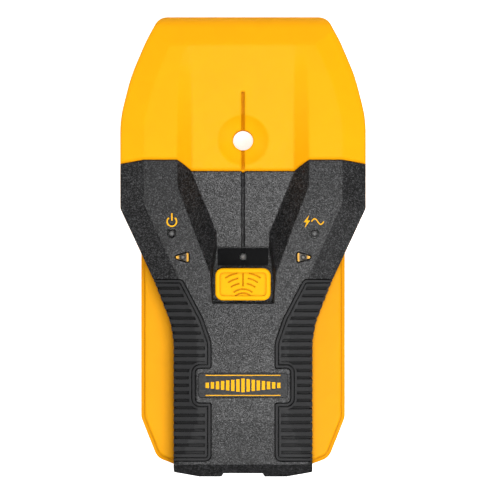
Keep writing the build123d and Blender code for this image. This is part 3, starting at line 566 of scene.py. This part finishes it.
PRINT_BOTTOM = COVER_TOP - 0.02 * MM
PRINT_TOP = COVER_TOP + 0.04 * MM
ICON_RISE = 4.3 * MM
RING_RADIUS = 1.7 * MM
RING_GAP = (128, 412)
MARK_STROKE = 0.5 * MM
STEM_FROM = 0.3 * MM
STEM_TO = 3.0 * MM
BOLT_SHAPE = [(0.8, 2.3), (-1.15, -0.25), (-0.15, -0.25), (-0.8, -2.3), (1.15, 0.4), (0.15, 0.4)]
WAVE_HALF = 2.2 * MM
WAVE_RISE = 1.0 * MM
WAVE_STROKE = 0.42 * MM
WAVE_STEPS = 16

power_x = READY.x + 0.1 * MM
power_y = READY.y + ICON_RISE
ring = stroke(arc((power_x, power_y), RING_RADIUS, *RING_GAP), MARK_STROKE)
stem = stroke([(power_x, power_y + STEM_FROM), (power_x, power_y + STEM_TO)], MARK_STROKE)
printed("power_mark", [ring, stem], PRINT_BOTTOM, PRINT_TOP, print_ink)

bolt_centre = (LIVE.x - 2.7 * MM, LIVE.y + ICON_RISE)
bolt = [(bolt_centre[0] + x * MM, bolt_centre[1] + y * MM) for x, y in BOLT_SHAPE]
printed("live_bolt_mark", [bolt], PRINT_BOTTOM, PRINT_TOP, print_ink)

wave_centre = (LIVE.x + 1.15 * MM, LIVE.y + ICON_RISE)
wave = [
    (
        wave_centre[0] + WAVE_HALF * (step / WAVE_STEPS - 1),
        wave_centre[1] + WAVE_RISE * math.sin(math.pi * step / WAVE_STEPS),
    )
    for step in range(2 * WAVE_STEPS + 1)
]
wave_line = stroke(wave, WAVE_STROKE)
printed("alternating_wave_mark", [wave_line], PRINT_BOTTOM, PRINT_TOP, print_ink)

# raised bars on the badge: a signal that grows towards its middle, between two thin lines
BAR_COUNT = 15
BAR_WIDTH = 1.2 * MM
BAR_TALLEST = 4.9 * MM
BAR_FALL = 3.0 * MM
BADGE_REACH = 12.8 * MM
BADGE_LINE = 0.32 * MM
BADGE_LINE_OFFSET = 3.6 * MM
badge_middle = middle("badge_plate")
MARK_BOTTOM = badge_high.z - 0.02 * MM
MARK_TOP = badge_high.z + 0.12 * MM


def rectangle(x, y, width, height):
    """The outline of a rectangle about its middle."""
    return [
        (x - width / 2, y - height / 2),
        (x + width / 2, y - height / 2),
        (x + width / 2, y + height / 2),
        (x - width / 2, y + height / 2),
    ]


bars = []
for index in range(BAR_COUNT):
    offset = index / (BAR_COUNT - 1) * 2 - 1
    bar_x = badge_middle.x + offset * BADGE_REACH
    bar_height = BAR_TALLEST - BAR_FALL * abs(offset)
    bars.append(rectangle(bar_x, badge_middle.y, BAR_WIDTH, bar_height))
printed("badge_signal_bars", bars, MARK_BOTTOM, MARK_TOP, print_ink)
line_length = 2 * BADGE_REACH + BAR_WIDTH
lines = [
    rectangle(badge_middle.x, badge_middle.y + side * BADGE_LINE_OFFSET, line_length, BADGE_LINE)
    for side in (1, -1)
]
printed("badge_lines", lines, MARK_BOTTOM, MARK_TOP, print_ink)

# ---------------------------------------------------------------- floor, light and camera
FLOOR_HALF = 3.0
FLOOR_DROP = 0.05 * MM
FLOOR_GLOW = 0.8
VIEW_WIDTH = 180.1 * MM
VIEW_CENTRE = (2.5 * MM, -1.1 * MM)
LENS = 500.0


def make_floor():
    """A pale floor, bright from above and open to a view from below."""
    mesh = bmesh.new()
    bmesh.ops.create_grid(mesh, x_segments=8, y_segments=8, size=FLOOR_HALF)
    data = bpy.data.meshes.new("floor")
    mesh.to_mesh(data)
    mesh.free()
    floor = bpy.data.objects.new("floor", data)
    floor.location.z = -FLOOR_DROP
    bpy.context.scene.collection.objects.link(floor)
    finish = Finish("floor_pale", (0.9, 0.9, 0.9), 0.8)
    finish.surface.inputs["Emission Color"].default_value = (1.0, 1.0, 1.0, 1.0)
    finish.surface.inputs["Emission Strength"].default_value = FLOOR_GLOW
    shell = finish.node("ShaderNodeBsdfTransparent")
    behind = finish.node("ShaderNodeNewGeometry").outputs["Backfacing"]
    sides = finish.node("ShaderNodeMixShader", Fac=behind)
    finish.feed(sides.inputs[1], finish.surface.outputs[0])
    finish.feed(sides.inputs[2], shell.outputs[0])
    finish.feed(finish.tree.nodes["Material Output"].inputs["Surface"], sides.outputs[0])
    floor.data.materials.append(finish.material)
    floor.visible_glossy = False


def soft_light(name, place, size, power):
    """A square soft light at the place, turned towards the object."""
    data = bpy.data.lights.new(name, "AREA")
    data.shape = "SQUARE"
    data.size = size
    data.energy = power
    light = bpy.data.objects.new(name, data)
    light.location = place
    light.rotation_euler = (-Vector(place)).to_track_quat("-Z", "Y").to_euler()
    light.visible_camera = False
    bpy.context.scene.collection.objects.link(light)


make_floor()
soft_light("key", (0.05, -0.09, 0.5), 0.2, 2.4)
soft_light("side", (0.75, -0.35, 0.6), 0.6, 3.4)
soft_light("fill", (-0.7, 0.1, 0.65), 0.6, 3.0)
soft_light("head_end", (0.1, 0.75, 0.6), 0.6, 1.8)

world = bpy.data.worlds.new("studio")
world.use_nodes = True
background = world.node_tree.nodes["Background"]
background.inputs["Color"].default_value = (1.0, 1.0, 1.0, 1.0)
background.inputs["Strength"].default_value = 0.1
bpy.context.scene.world = world
bpy.context.scene.view_settings.view_transform = "Standard"

camera_data = bpy.data.cameras.new("camera")
camera_data.lens = LENS
camera = bpy.data.objects.new("camera", camera_data)
distance = VIEW_WIDTH * LENS / camera_data.sensor_width
camera.location = (*VIEW_CENTRE, COVER_TOP / 2 + distance)
camera_data.clip_start = 0.05
camera_data.clip_end = 20.0
bpy.context.scene.collection.objects.link(camera)
bpy.context.scene.camera = camera

# ---------------------------------------------------------------- view layer update
bpy.context.view_layer.update()
